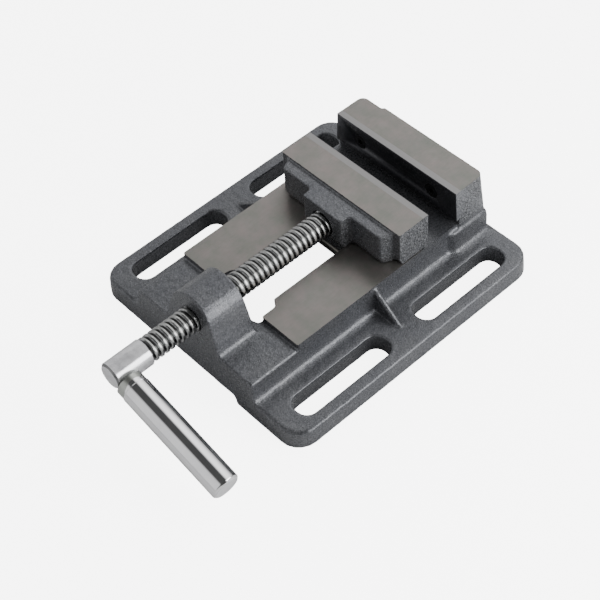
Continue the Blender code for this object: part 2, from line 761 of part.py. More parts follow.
def movable_jaw(carriage):
    jaw = new_object("movable_jaw", moving_block(), "cast")
    for mesh in (moving_ledge(), moving_boss(), tongue()):
        join(jaw, mesh)
    reach = JAW_WIDTH / 2 + 10 * MM
    cut(jaw, box("plate seat", (-reach, MOVING_FACE - PLATE_SEAT, PLATE_BOTTOM - SEAT_GAP),
                 (reach, MOVING_FACE + OVERCUT, JAW_TOP + OVERCUT)))
    cut(jaw, retainer_pocket())
    journal = JOURNAL_DIAMETER / 2 + SEAT_GAP
    wide = THREAD_DIAMETER / 2 + SEAT_GAP
    shoulder = JAW_BOSS_FRONT + COUNTERBORE_DEPTH
    bore = turned("journal bore", [(0, POCKET_WALL + MM), (journal, POCKET_WALL + MM),
                                   (journal, shoulder), (wide, shoulder),
                                   (wide, JAW_BOSS_FRONT - OVERCUT),
                                   (0, JAW_BOSS_FRONT - OVERCUT)])
    cut(jaw, along_y(bore))
    for x, face, direction in screw_hole_places(MOVING_FACE, -1):
        cut(jaw, plate_tapped_hole(x, face, direction))
    for spot in BOLT_SPOTS.values():
        hole = rod("bolt hole", BOLT_DIAMETER / 2 + SEAT_GAP, TONGUE_BOTTOM - OVERCUT,
                   TONGUE_BOTTOM + BOLT_REACH + MM, SMALL_STEPS)
        cut(jaw, placed(hole, Matrix.Translation(spot)))
    adopt(jaw, carriage)
    return jaw


def adopt(piece, parent):
    """Parent a piece and its cutters to an empty without moving any of them."""
    if parent is None:
        return
    for item in [piece] + [step.object for step in piece.modifiers if step.type == "BOOLEAN"]:
        offset = parent.matrix_world.translation
        item.data.transform(Matrix.Translation(-offset))
        item.parent = parent


def countersink(name, grow, far):
    """Profile of a countersunk screw or of its hole, along Z from the plate's face."""
    head = PLATE_SCREW_HEAD / 2 + grow
    shank = PLATE_SCREW_SHANK / 2 + grow
    cone_end = PLATE_SCREW_LAND + head - shank
    profile = [(0, far), (shank, far), (shank, cone_end), (head, PLATE_SCREW_LAND),
               (head, 0.1 * MM if grow == 0 else -MM), (0, 0.1 * MM if grow == 0 else -MM)]
    return turned(name, profile, SMALL_STEPS)


def jaw_plate(name, face, direction, parent):
    """Hardened plate with two countersunk holes, flush with the jaw's top and sides."""
    half = JAW_WIDTH / 2
    back = face + direction * PLATE_THICKNESS
    mesh = box(name, (-half, min(face, back), PLATE_BOTTOM), (half, max(face, back), JAW_TOP))
    plate = new_object(name, mesh, "plate")
    for x, y, way in screw_hole_places(face, direction):
        hole = countersink("countersink", SEAT_GAP, PLATE_THICKNESS + MM)
        cut(plate, point_along(hole, x, y, PLATE_SCREW_HEIGHT, way))
    adopt(plate, parent)
    return plate


def hexagon(flats):
    corner = flats / math.sqrt(3)
    return [(corner * math.cos(math.radians(60 * i)), corner * math.sin(math.radians(60 * i)))
            for i in range(6)]


def plate_screws(first_number, face, direction, parent):
    for number, (x, y, way) in enumerate(screw_hole_places(face, direction), first_number):
        name = "jaw_plate_screw_%d" % number
        mesh = countersink(name, 0.0, PLATE_SCREW_LENGTH)
        screw = new_object(name, point_along(mesh, x, y, PLATE_SCREW_HEIGHT, way), "black")
        socket = prism("hex socket", hexagon(PLATE_SOCKET), -MM, PLATE_SOCKET_DEPTH, ALONG_Z)
        cut(screw, point_along(socket, x, y, PLATE_SCREW_HEIGHT, way))
        adopt(screw, parent)


def lead_screw(axis):
    """Screw from head to grooved journal, made about its own axis from the head's end."""
    length = THREAD_END - HEAD_FRONT
    thread = threaded_rod("lead_screw", THREAD_DIAMETER / 2, THREAD_DEPTH, THREAD_CREST,
                          HEAD_LENGTH - MM, length)
    screw = new_object("lead_screw", thread, "zinc")
    radius = HEAD_DIAMETER / 2
    head = turned("head", [(0, HEAD_LENGTH), (radius - HEAD_CHAMFER, HEAD_LENGTH),
                           (radius, HEAD_LENGTH - HEAD_CHAMFER), (radius, HEAD_CHAMFER),
                           (radius - HEAD_CHAMFER, 0), (0, 0)])
    join(screw, head)
    journal = JOURNAL_DIAMETER / 2
    groove = GROOVE_DIAMETER / 2
    tip = JOURNAL_END - HEAD_FRONT
    chamfer = HEAD_CHAMFER
    join(screw, turned("journal", [
        (0, tip), (journal - chamfer, tip), (journal, tip - chamfer),
        (journal, GROOVE_REAR - HEAD_FRONT), (groove, GROOVE_REAR - HEAD_FRONT),
        (groove, GROOVE_FRONT - HEAD_FRONT), (journal, GROOVE_FRONT - HEAD_FRONT),
        (journal, length - MM), (0, length - MM)]))
    hole = rod("handle hole", SPIGOT_DIAMETER / 2 + SEAT_GAP, -HEAD_DIAMETER, HEAD_DIAMETER)
    cut(screw, placed(hole, handle_matrix()))
    turn_onto_axis(screw, axis)
    return screw


def handle_matrix():
    """Handle's direction in the screw's own frame: its Z runs out along the bar."""
    lean = Matrix.Rotation(math.radians(90) + HANDLE_TILT, 4, "Y")
    unturn = TURN_TO_Y.inverted()
    return Matrix.Translation((0, 0, HANDLE_SETBACK)) @ unturn @ lean


def turn_onto_axis(piece, axis):
    """Put a piece made in the screw's own frame, and its cutters, on the screw's axis."""
    to_world = Matrix.Translation((0, HEAD_FRONT, SCREW_HEIGHT)) @ TURN_TO_Y
    matrix = axis.matrix_world.inverted() @ to_world
    for item in [piece] + [step.object for step in piece.modifiers if step.type == "BOOLEAN"]:
        item.data.transform(matrix)
        item.parent = axis


def handle_bar(axis):
    """Chamfered bar on one side of the head, with a spigot through the head's cross hole."""
    bar = HANDLE_DIAMETER / 2
    spigot = SPIGOT_DIAMETER / 2
    shoulder = HEAD_DIAMETER / 2 + SEAT_GAP
    chamfer = HANDLE_CHAMFER
    mesh = turned("handle_bar", [
        (0, HANDLE_REACH), (bar - chamfer, HANDLE_REACH), (bar, HANDLE_REACH - chamfer),
        (bar, shoulder + 2 * chamfer), (bar - chamfer, shoulder), (spigot, shoulder),
        (spigot, -HEAD_DIAMETER / 2), (0, -HEAD_DIAMETER / 2)])
    handle = new_object("handle_bar", placed(mesh, handle_matrix()), "chrome")
    turn_onto_axis(handle, axis)
    return handle


def open_ring_outline(outer, inner, mouth, turn, steps):
    """Flat ring with a gap of the given width, centred on the direction at angle turn."""
    outline = []
    for radius, order in ((outer, 1), (inner, -1)):
        half_gap = math.asin(mouth / 2 / radius)
        sweep = 2 * math.pi - 2 * half_gap
        for step in range(steps + 1)[::order]:
            angle = turn + half_gap + sweep * step / steps
            outline.append((radius * math.cos(angle), radius * math.sin(angle)))
    return outline


def thrust_washer(carriage):
    outer = THRUST_WASHER_DIAMETER / 2
    inner = JOURNAL_DIAMETER / 2 + SEAT_GAP
    low = POCKET_WALL + SEAT_GAP
    high = low + THRUST_WASHER_THICKNESS
    profile = [(inner, high), (outer, high), (outer, low), (inner, low), (inner, high)]
    washer = new_object("thrust_washer", along_y(turned("thrust_washer", profile)), "zinc")
    adopt(washer, carriage)


def retaining_ring(axis):
    """Open ring in the journal's groove, with its mouth facing down."""
    outline = open_ring_outline(RING_DIAMETER / 2, GROOVE_DIAMETER / 2 + SEAT_GAP,
                                RING_MOUTH, math.radians(-90), ROUND_STEPS)
    lifted = [(x, z + SCREW_HEIGHT) for x, z in outline]
    mesh = prism("retaining_ring", lifted, RING_FRONT, RING_FRONT + RING_THICKNESS, ALONG_Y)
    adopt(new_object("retaining_ring", mesh, "black"), axis)


def keeper_plate(carriage):
    half = KEEPER_WIDTH / 2
    front = MOVING_FACE - TONGUE_FRONT - KEEPER_OVERHANG
    rear = MOVING_FACE - TONGUE_REAR
    low = KEEPER_TOP - KEEPER_THICKNESS
    chamfer = KEEPER_CHAMFER
    levels = [(low, chamfer), (low + chamfer, 0.0), (KEEPER_TOP - chamfer, 0.0),
              (KEEPER_TOP, chamfer)]
    sections = [rectangle(half - inset, front + inset, rear - inset, 2 * MM, 2 * MM, z)
                for z, inset in levels]
    plate = new_object("keeper_plate", loft("keeper_plate", sections), "black")
    for spot in BOLT_SPOTS.values():
        hole = rod("keeper hole", BOLT_DIAMETER / 2 + SEAT_GAP, low - MM, KEEPER_TOP + MM,
                   SMALL_STEPS)
        cut(plate, placed(hole, Matrix.Translation(spot)))
    adopt(plate, carriage)


def keeper_fasteners(carriage):
    """Two hexagon bolts with split spring washers, side by side near the gripping face."""
    under_plate = KEEPER_TOP - KEEPER_THICKNESS - SEAT_GAP
    under_washer = under_plate - SPRING_WASHER_THICKNESS - SEAT_GAP
    for side, spot in BOLT_SPOTS.items():
        spot_matrix = Matrix.Translation(spot)
        name = "keeper_washer_" + side
        outline = open_ring_outline(SPRING_WASHER_DIAMETER / 2, BOLT_DIAMETER / 2 + SEAT_GAP,
                                    SPRING_WASHER_SLIT, 0.0, SMALL_STEPS)
        mesh = prism(name, outline, under_plate - SPRING_WASHER_THICKNESS, under_plate, ALONG_Z)
        adopt(new_object(name, placed(mesh, spot_matrix), "zinc"), carriage)
        name = "keeper_bolt_" + side
        head = prism(name, hexagon(BOLT_HEAD_FLATS), under_washer - BOLT_HEAD_HEIGHT,
                     under_washer, ALONG_Z)
        bolt = new_object(name, placed(head, spot_matrix), "black")
        shank = rod("shank", BOLT_DIAMETER / 2, under_washer - MM, TONGUE_BOTTOM + BOLT_REACH,
                    SMALL_STEPS)
        join(bolt, placed(shank, spot_matrix))
        adopt(bolt, carriage)


def build():
    carriage = new_empty("jaw_carriage", (0, MOVING_FACE, WAY_TOP))
    axis = new_empty("screw_axis", (0, HEAD_FRONT, SCREW_HEIGHT))
    bpy.context.view_layer.update()
    base_casting()
    jaw_plate("fixed_jaw_plate", 0.0, 1, None)
    movable_jaw(carriage)
    jaw_plate("movable_jaw_plate", MOVING_FACE, -1, carriage)
    plate_screws(1, 0.0, 1, None)
    plate_screws(3, MOVING_FACE, -1, carriage)
    lead_screw(axis)
    handle_bar(axis)
    thrust_washer(carriage)
    retaining_ring(axis)
    keeper_plate(carriage)
    keeper_fasteners(carriage)


build()
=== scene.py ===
"""Looks of the drill press vise: finer castings, screw and handle, materials, light and camera.

Metres, in the CAD model's own frame: X across the jaws, Y along the screw, +Z up.
"""
import math

import bmesh
import bpy
import numpy as np
from mathutils import Matrix, Vector


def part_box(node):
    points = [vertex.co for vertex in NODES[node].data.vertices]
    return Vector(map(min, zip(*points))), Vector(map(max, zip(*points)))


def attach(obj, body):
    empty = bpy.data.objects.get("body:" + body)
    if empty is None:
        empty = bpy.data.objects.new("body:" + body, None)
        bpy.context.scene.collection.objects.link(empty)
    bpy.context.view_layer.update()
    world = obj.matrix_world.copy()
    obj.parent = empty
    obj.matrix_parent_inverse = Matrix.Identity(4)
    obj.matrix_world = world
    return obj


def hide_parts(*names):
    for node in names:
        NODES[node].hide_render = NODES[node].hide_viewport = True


MM = 0.001

# Tolerances and shading
SNAP = 0.02 * MM  # a point closer than this to a level lies on it
WELD = SNAP / 10  # points closer than this are one point
FLAT = 0.999  # share of a normal along its main axis, on a machined face
CAST_SHARP = math.radians(48)  # edges over these angles are shaded sharp
EASED_SHARP = math.radians(50)
MACHINED_SHARP = math.radians(30)

# Castings
BASE_VOXEL = 0.7 * MM
JAW_VOXEL = 0.5 * MM
STOCK = 2.4 * MM  # metal left on machined faces until they are cut
SMOOTHING_STEPS = 5
SKIN_SIZE = 4.0 * MM
SKIN_DEPTH = 0.28 * MM
WAY_TOP = 31.0 * MM
WAY_FROM = -132.0 * MM  # the ways are machined from here
WAY_TO = 2.5 * MM  # to here, below the fixed jaw's plate
PAINTED_FROM = -27.5 * MM  # from here to the fixed jaw the ways keep their paint
JAWS_FROM = -90.0 * MM  # both jaws lie behind this level, and the boss in front of it
JAW_TOP = 57.2 * MM
PLATE_FOOT = 35.1 * MM  # underside of a plate's seat
FIXED_SEAT = 4.3 * MM
MOVING_SEAT = -26.8 * MM
JAW_CUT = 50.0 * MM  # the cut over the fixed jaw reaches this far on both sides of its face
SEAT_CUT = 10.0 * MM  # the cut in front of its plate's seat starts this far before its face
REACH = 0.2  # past every point of the part

# Jaw plates
FIXED_ENDS = (49.9 * MM, 51.1 * MM)  # half widths of the jaw at the plate's top and foot
MOVING_ENDS = (49.6 * MM, 49.6 * MM)
PLATE_EDGE = 0.3 * MM
PLATE_SEAT_DEPTH = 0.5 * MM  # points of a plate this close to its seat are moved onto it
PLATE_END_AREA = 10 * MM ** 2  # a sideways face of a plate over this size is its end
KEEPER_EDGE = 0.3 * MM
EASED_ANGLE = math.radians(40)  # edges under this angle aren't eased

# Lead screw
PITCH = 3.75 * MM
THREAD_RADIUS = 8.0 * MM
THREAD_DEPTH = 1.6 * MM
THREAD_STEPS = 44
# One pitch of the thread's outline in mm: depth below the crest, place along the axis
THREAD_LINE = ((1.60, 0.0), (1.60, 0.28), (1.45, 0.40), (0.30, 0.82), (0.08, 0.97), (0.0, 1.18),
               (0.0, 2.57), (0.08, 2.78), (0.30, 2.93), (1.45, 3.35), (1.60, 3.47), (1.60, 3.75))
THREAD_IN_JAW = 2.7 * MM  # length of thread inside the movable jaw
SPARE_TURNS = 2  # turns made past each end of the thread, and cut off
HEAD_RADIUS = 8.5 * MM
HEAD_LENGTH = 25.4 * MM
HEAD_FRONT = -220.7 * MM
HEAD_CHAMFER = 1.4 * MM
HEAD_BACK_CHAMFER = 0.8 * MM
JOURNAL_RADIUS = 5.5 * MM
JOURNAL_CHAMFER = 0.6 * MM
SCREW_HEIGHT = 42.5 * MM
ROUND_STEPS = 96

# Handle, measured along its bar from the screw's axis
BAR_RADIUS = 8.75 * MM
BAR_REACH = 90.0 * MM
BAR_CHAMFER = 1.3 * MM
BAR_EDGE = 0.4 * MM
BAR_TILT = math.radians(14)
BAR_SETBACK = 6.4 * MM  # from the head's end face
NECK_START = HEAD_RADIUS + 0.3 * MM
NECK_END = 14.5 * MM
NECK_STEP = 0.35 * MM
NECK_SLOPE = 0.5 * MM
SPIGOT_RADIUS = 4.0 * MM
# The spigot's domed end: share of its radius, depth below the head's far side
SPIGOT_END = ((1.0, 1.0 * MM), (0.55, 0.3 * MM), (0.0, 0.1 * MM))

# Stage, lights and camera, fitted to the photo
FLOOR_REACH = 8.0
FLOOR_THICKNESS = 0.02
FLOOR_GLOW = 6.0
KEY_PLACE = (0.52, 0.10, 0.26)
KEY_TARGET = (0, -0.08, 0.03)
KEY_SIZE = (0.38, 0.42)
KEY_RADIANCE = 6
STUDIO_DARK = 0.08
SENSOR_WIDTH = 36
FOCAL_LENGTH = 90.24
LENS_SHIFT = (-0.003807, -0.00541)
CAMERA_PLACE = Matrix((
    (0.6811940670, -0.5341041684, 0.5007067919, 0.4584012328),
    (0.7301366329, 0.5457199812, -0.4112055898, -0.4569476247),
    (-0.0536190942, 0.6456952095, 0.7617103457, 0.6894672513),
    (0, 0, 0, 1)))

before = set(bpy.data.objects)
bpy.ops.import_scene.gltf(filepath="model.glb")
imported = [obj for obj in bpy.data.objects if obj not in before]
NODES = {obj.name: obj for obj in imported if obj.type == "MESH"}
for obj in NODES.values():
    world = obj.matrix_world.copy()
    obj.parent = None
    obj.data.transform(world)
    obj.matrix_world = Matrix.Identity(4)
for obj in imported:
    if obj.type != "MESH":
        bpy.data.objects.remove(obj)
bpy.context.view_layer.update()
SCREW_FRAME = (Matrix.Translation((0, HEAD_FRONT, SCREW_HEIGHT)) @
               Matrix.Rotation(math.radians(-90), 4, "X"))
BAR_FRAME = (SCREW_FRAME @ Matrix.Translation((0, 0, BAR_SETBACK)) @
             Matrix.Rotation(math.radians(90), 4, "X") @
             Matrix.Rotation(math.radians(90) + BAR_TILT, 4, "Y"))


class Material:
    """A material and short ways to add nodes to it."""

    def __init__(self, name):
        self.material = bpy.data.materials.new(name)
        self.material.use_nodes = True
        self.nodes = self.material.node_tree.nodes
        self.links = self.material.node_tree.links
        self.shader = self.nodes["Principled BSDF"]
        self.place = self.nodes.new("ShaderNodeTexCoord").outputs["Object"]

    def give(self, socket, value):
        """Join a node's output to a socket, or set a plain value."""
        if isinstance(value, bpy.types.NodeSocket):
            self.links.new(value, socket)
        else:
            socket.default_value = value

    def set(self, **values):
        """Set the shader's own sockets."""
        for name, value in values.items():
            self.give(self.shader.inputs[name.replace("_", " ")], value)

    def noise(self, scale, detail=4.0, rough=0.55, place=None):
        node = self.nodes.new("ShaderNodeTexNoise")
        node.inputs["Scale"].default_value = scale
        node.inputs["Detail"].default_value = detail
        node.inputs["Roughness"].default_value = rough
        self.give(node.inputs["Vector"], place or self.place)
        return node.outputs["Fac"]

    def wrinkles(self, scale):
        """1 along the borders of uneven cells, 0 inside them."""
        warp = self.nodes.new("ShaderNodeTexNoise")
        warp.inputs["Scale"].default_value = scale * 1.6
        self.give(warp.inputs["Vector"], self.place)
        place = self.nodes.new("ShaderNodeMix")
        place.data_type = "VECTOR"
        place.inputs["Factor"].default_value = 0.0016
        self.give(place.inputs["A"], self.place)
        self.give(place.inputs["B"], warp.outputs["Color"])
        node = self.nodes.new("ShaderNodeTexVoronoi")
        node.feature = "DISTANCE_TO_EDGE"
        node.inputs["Scale"].default_value = scale
        self.give(node.inputs["Vector"], place.outputs["Result"])
        return self.spread(node.outputs["Distance"], 1, 0, 0.02, 0.15)

    def facing_sideways(self):
        """1 on faces that look along X, 0 on the others."""
        split = self.nodes.new("ShaderNodeSeparateXYZ")
        coordinates = self.nodes.new("ShaderNodeTexCoord")
        self.give(split.inputs[0], coordinates.outputs["Normal"])
        return self.spread(self.math("ABSOLUTE", split.outputs["X"]), 0, 1, 0.80, 0.95)

    def stretched(self, scale):
        """The place scaled by a number for each axis."""
        node = self.nodes.new("ShaderNodeMapping")
        node.inputs["Scale"].default_value = scale
        self.give(node.inputs["Vector"], self.place)
        return node.outputs["Vector"]

    def math(self, kind, *values):
        node = self.nodes.new("ShaderNodeMath")
        node.operation = kind
        for socket, value in zip(node.inputs, values):
            self.give(socket, value)
        return node.outputs[0]

    def spread(self, value, low, high, start=0.0, end=1.0):
        """Map start..end to low..high."""
        node = self.nodes.new("ShaderNodeMapRange")
        for name, number in (("From Min", start), ("From Max", end), ("To Min", low),
                             ("To Max", high)):
            node.inputs[name].default_value = number
        self.give(node.inputs["Value"], value)
        return node.outputs["Result"]

    def ramp(self, value, *stops):
        """Colours between stops, each (position, color)."""
        node = self.nodes.new("ShaderNodeValToRGB")
        elements = node.color_ramp.elements
        while len(elements) < len(stops):
            elements.new(0.5)
        for element, (position, color) in zip(elements, stops):
            element.position = position
            element.color = (*color, 1)
        self.give(node.inputs["Fac"], value)
        return node.outputs["Color"]

    def mix(self, factor, a, b, kind="MIX"):
        node = self.nodes.new("ShaderNodeMix")
        node.data_type = "RGBA"
        node.blend_type = kind
        self.give(node.inputs["Factor"], factor)
        self.give(node.inputs["A"], a)
        self.give(node.inputs["B"], b)
        return node.outputs["Result"]

    def bump(self, height, depth, below=None):
        """Normal of a relief from 0 to depth, laid over the normal below."""
        node = self.nodes.new("ShaderNodeBump")
        node.inputs["Strength"].default_value = 1.0
        self.give(node.inputs["Distance"], depth)
        self.give(node.inputs["Height"], height)
        if below:
            self.give(node.inputs["Normal"], below)
        return node.outputs["Normal"]

    def distance_from_axis(self):
        """Distance from the screw's axis, which runs along Y."""
        place = self.place
        for kind, value in (("SUBTRACT", (0, 0, SCREW_HEIGHT)), ("MULTIPLY", (1, 0, 1))):
            node = self.nodes.new("ShaderNodeVectorMath")
            node.operation = kind
            self.give(node.inputs[0], place)
            node.inputs[1].default_value = value
            place = node.outputs[0]
        node = self.nodes.new("ShaderNodeVectorMath")
        node.operation = "LENGTH"
        self.give(node.inputs[0], place)
        return node.outputs["Value"]

    def place_along(self, axis):
        """The place's own X, Y or Z."""
        split = self.nodes.new("ShaderNodeSeparateXYZ")
        self.give(split.inputs[0], self.place)
        return split.outputs[axis]


def cast_paint():
    """Dark grey paint over rough cast iron: a fine sparkle, and wrinkles on the jaws' ends. The
    ends that face along X are lightened as painted light, and the wrinkles' sunk lines are darkened
    as painted shade.
    """
    m = Material("cast_paint")
    grain = m.noise(1300, 2, 0.6)
    pits = m.noise(620, 4, 0.65)
    broad = m.noise(38, 4, 0.6)
    tone = m.ramp(grain, (0.34, (0.084, 0.086, 0.093)), (0.50, (0.112, 0.115, 0.123)),
                  (0.64, (0.178, 0.181, 0.192)))
    uneven_tone = m.ramp(broad, (0.32, (0.80, 0.81, 0.84)), (0.68, (1.0, 1.0, 1.0)))
    tone = m.mix(1.0, tone, uneven_tone, "MULTIPLY")
    line = m.wrinkles(430)
    above = m.spread(m.place_along("Z"), 0, 1, WAY_TOP, WAY_TOP + MM)
    behind = m.spread(m.place_along("Y"), 0, 1, JAWS_FROM - MM, JAWS_FROM)
    # The jaws' ends that face along X, above the ways: they get the wrinkles and painted light
    ends = m.math("MULTIPLY", m.math("MULTIPLY", m.facing_sideways(), above), behind)
    sunk = m.math("MULTIPLY", line, m.math("MULTIPLY", ends, m.spread(broad, 0, 1, 0.40, 0.52)))
    # Painted light: these ends are made 1.65 times lighter
    tone = m.mix(ends, tone, m.mix(1.0, tone, (1.65, 1.65, 1.62, 1), "MULTIPLY"))
    # Painted shade: the wrinkles' sunk lines are darkened
    tone = m.mix(m.math("MULTIPLY", sunk, 0.7), tone, (0.03, 0.031, 0.034, 1))
    m.set(Base_Color=tone, Metallic=0.5, Roughness=m.spread(pits, 0.22, 0.36, 0.3, 0.7))
    low = m.bump(pits, m.spread(broad, 0.04 * MM, 0.17 * MM, 0.35, 0.65))
    low = m.bump(m.math("SUBTRACT", 1.0, sunk), 0.2 * MM, low)
    m.set(Normal=m.bump(grain, 0.12 * MM, low))
    return m.material


def machined_iron():
    """Ground cast iron: smooth, slightly brown, with faint grinding marks and mottling."""
    m = Material("machined_iron")
    marks = m.noise(60, 3, 0.5, m.stretched((30, 2, 30)))
    mottle = m.noise(28, 5, 0.6)
    fine = m.noise(1500, 2)
    tone = m.ramp(mottle, (0.32, (0.185, 0.187, 0.172)), (0.5, (0.230, 0.216, 0.202)),
                  (0.68, (0.270, 0.255, 0.242)))
    tone = m.mix(1.0, tone, m.ramp(m.noise(95, 3, 0.6), (0.35, (0.90, 0.95, 0.92)),
                                   (0.50, (1, 1, 1)), (0.65, (1.10, 1.04, 1.06))), "MULTIPLY")
    streak = m.ramp(marks, (0.3, (0.15, 0.145, 0.14)), (0.7, (0.32, 0.31, 0.30)))
    m.set(Base_Color=m.mix(0.10, tone, streak), Metallic=0.85,
          Roughness=m.spread(mottle, 0.36, 0.46, 0.3, 0.7))
    low = m.bump(marks, 0.006 * MM)
    m.set(Normal=m.bump(fine, 0.012 * MM, low))
    return m.material


def plate_steel(name, color):
    """Ground steel of the jaw plates."""
    m = Material(name)
    marks = m.noise(50, 3, 0.5, m.stretched((2, 30, 30)))
    streak = m.ramp(marks, (0.3, (0.85, 0.85, 0.85)), (0.7, (1, 1, 1)))
    m.set(Base_Color=m.mix(1.0, (*color, 1), streak, "MULTIPLY"), Metallic=0.85,
          Roughness=m.spread(marks, 0.36, 0.46, 0.3, 0.7))
    m.set(Normal=m.bump(marks, 0.01 * MM))
    return m.material


def bright_zinc(name, screw=False):
    """Bright zinc plating with a slightly uneven skin; a screw's thread is duller than its head,
    and darkened towards the roots of its grooves as painted shade.
    """
    m = Material(name)
    skin = m.noise(180, 4, 0.6)
    color = m.ramp(skin, (0.3, (0.60, 0.60, 0.62)), (0.6, (0.78, 0.78, 0.80)))
    shine = m.spread(skin, 0.15, 0.28, 0.3, 0.7)
    if screw:
        depth = m.spread(m.distance_from_axis(), 0, 1, THREAD_RADIUS - THREAD_DEPTH,
                         THREAD_RADIUS)
        # Painted shade: the thread is darkened from its crests towards the roots of its grooves
        uneven_tone = m.ramp(depth, (0.1, (0.085, 0.087, 0.085)), (0.45, (0.16, 0.163, 0.16)),
                      (0.80, (0.50, 0.50, 0.51)), (0.97, (0.34, 0.345, 0.34)))
        uneven_tone = m.mix(1.0, uneven_tone, m.ramp(m.noise(420, 3, 0.6), (0.35, (0.7, 0.7, 0.7)),
                                       (0.65, (1.2, 1.2, 1.2))), "MULTIPLY")
        along = m.spread(m.place_along("Y"), 0, 1, HEAD_FRONT + HEAD_LENGTH - SNAP,
                         HEAD_FRONT + HEAD_LENGTH + SNAP)
        # The head's front chamfer is darkened almost to black
        rim = m.spread(m.distance_from_axis(), 0, 0.8, HEAD_RADIUS - HEAD_CHAMFER,
                       HEAD_RADIUS - HEAD_CHAMFER + 0.2 * MM)
        front = m.spread(m.place_along("Y"), 1, 0, HEAD_FRONT + HEAD_CHAMFER - 0.2 * MM,
                         HEAD_FRONT + HEAD_CHAMFER - 0.1 * MM)
        chamfer = m.math("MULTIPLY", rim, front)
        color = m.mix(chamfer, color, (0.06, 0.062, 0.06, 1))
        color = m.mix(along, color, uneven_tone)
    m.set(Base_Color=color, Metallic=1.0, Roughness=shine)
    m.set(Normal=m.bump(skin, 0.01 * MM))
    return m.material


def polished_chrome():
    """Chrome with a little haze; the neck near the screw's head is dull, the end is turned."""
    m = Material("polished_chrome")
    haze = m.noise(90, 5, 0.6)
    color = m.ramp(haze, (0.3, (0.76, 0.76, 0.78)), (0.7, (0.86, 0.86, 0.87)))
    distance = m.distance_from_axis()
    clean = m.spread(distance, 0, 1, NECK_END - 0.1 * MM, NECK_END + 0.3 * MM)
    turned_end = m.spread(distance, 0, 0.45, BAR_REACH - 0.2 * MM, BAR_REACH - 0.05 * MM)
    shine = m.math("ADD", m.spread(haze, 0.05, 0.10, 0.3, 0.7), m.spread(clean, 0.26, 0))
    m.set(Base_Color=m.mix(clean, (0.42, 0.435, 0.41, 1), color), Metallic=1.0,
          Roughness=m.math("ADD", shine, turned_end))
    low = m.bump(m.noise(260, 3), m.spread(clean, 0.10 * MM, 0))
    m.set(Normal=m.bump(m.noise(700, 2), 0.002 * MM, low))
    return m.material


def black_oxide():
    """Blackened steel with light wear."""
    m = Material("black_oxide")
    wear = m.noise(900, 3)
    m.set(Base_Color=m.ramp(wear, (0.35, (0.012, 0.012, 0.013)), (0.75, (0.045, 0.045, 0.047))),
          Metallic=0.8, Roughness=m.spread(wear, 0.35, 0.5, 0.3, 0.7))
    m.set(Normal=m.bump(wear, 0.02 * MM))
    return m.material


def use_materials(piece, *materials):
    piece.data.materials.clear()
    for material in materials:
        piece.data.materials.append(material)


def link(name, mesh):
    piece = bpy.data.objects.new(name, mesh)
    bpy.context.scene.collection.objects.link(piece)
    return piece


def baked(piece):
    """Mesh of a piece with its modifiers applied."""
    graph = bpy.context.evaluated_depsgraph_get()
    mesh = bpy.data.meshes.new_from_object(piece.evaluated_get(graph))
    mesh.name = piece.name
    return mesh


def take_shape(piece):
    """Apply a piece's modifiers to its own mesh."""
    mesh = baked(piece)
    piece.modifiers.clear()
    piece.data = mesh


def box(name, low, high):
    shape = bmesh.new()
    bmesh.ops.create_cube(shape, size=1)
    size = Vector(high) - Vector(low)
    middle = (Vector(high) + Vector(low)) / 2
    bmesh.ops.scale(shape, vec=size, verts=shape.verts)
    bmesh.ops.translate(shape, vec=middle, verts=shape.verts)
    mesh = bpy.data.meshes.new(name)
    shape.to_mesh(mesh)
    shape.free()
    return mesh


def boolean(piece, mesh, operation):
    """Join or cut a piece with a mesh, at once."""
    tool = link(mesh.name, mesh)
    step = piece.modifiers.new("step", "BOOLEAN")
    step.operation = operation
    step.solver = "MANIFOLD"
    step.object = tool
    take_shape(piece)
    bpy.data.objects.remove(tool)


def build_up(mesh, faces):
    """Move flat machined faces outwards by STOCK."""
    places = np.empty(len(mesh.vertices) * 3)
    mesh.vertices.foreach_get("co", places)
    places = places.reshape(-1, 3)
    flat = places.copy()
    for axis, level, direction in faces:
        on_face = abs(places[:, axis] - level) < SNAP
        flat[on_face, axis] += direction * STOCK
    mesh.vertices.foreach_set("co", flat.ravel())


def casting(name, node, voxel, faces, cuts):
    """Casting with rounded and slightly uneven skin, machined flat and sharp on its cut faces.

    Each of the faces is (axis, level, direction), and each of the cuts is a box (low, high).
    """
    mesh = NODES[node].data.copy()
    build_up(mesh, faces)
    piece = link(name, mesh)
    weld = piece.modifiers.new("weld", "WELD")
    weld.merge_threshold = WELD
    remesh = piece.modifiers.new("remesh", "REMESH")
    remesh.mode = "VOXEL"
    remesh.voxel_size = voxel
    smooth = piece.modifiers.new("smooth", "SMOOTH")
    smooth.factor = 0.5
    smooth.iterations = SMOOTHING_STEPS
    skin = bpy.data.textures.new("skin", "CLOUDS")
    skin.noise_scale = SKIN_SIZE
    skin.noise_depth = 2
    rough = piece.modifiers.new("rough", "DISPLACE")
    rough.texture = skin
    rough.strength = SKIN_DEPTH
    rough.mid_level = 1.0
    take_shape(piece)
    for low, high in cuts:
        boolean(piece, box("cut", low, high), "DIFFERENCE")
    tidy_cuts(piece.data)
    use_materials(piece, PAINT, GROUND)
    mark_machined(piece.data, [face[:2] for face in faces])
    piece.data.shade_smooth()
    piece.data.set_sharp_from_angle(angle=CAST_SHARP)
    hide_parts(node)
    return piece


def tidy_cuts(mesh):
    """Merge what the cuts left too close together, and part the ways where their paint starts."""
    shape = bmesh.new()
    shape.from_mesh(mesh)
    bmesh.ops.remove_doubles(shape, verts=shape.verts, dist=SNAP / 2)
    bmesh.ops.dissolve_degenerate(shape, edges=shape.edges, dist=SNAP / 2)
    geometry = set()
    for face in shape.faces:
        if abs(face.calc_center_median().z - WAY_TOP) < SNAP and abs(face.normal.z) > FLAT:
            geometry.update((face, *face.edges, *face.verts))
    bmesh.ops.bisect_plane(shape, geom=list(geometry), plane_co=(0, PAINTED_FROM, 0),
                           plane_no=(0, 1, 0))
    shape.to_mesh(mesh)
    shape.free()


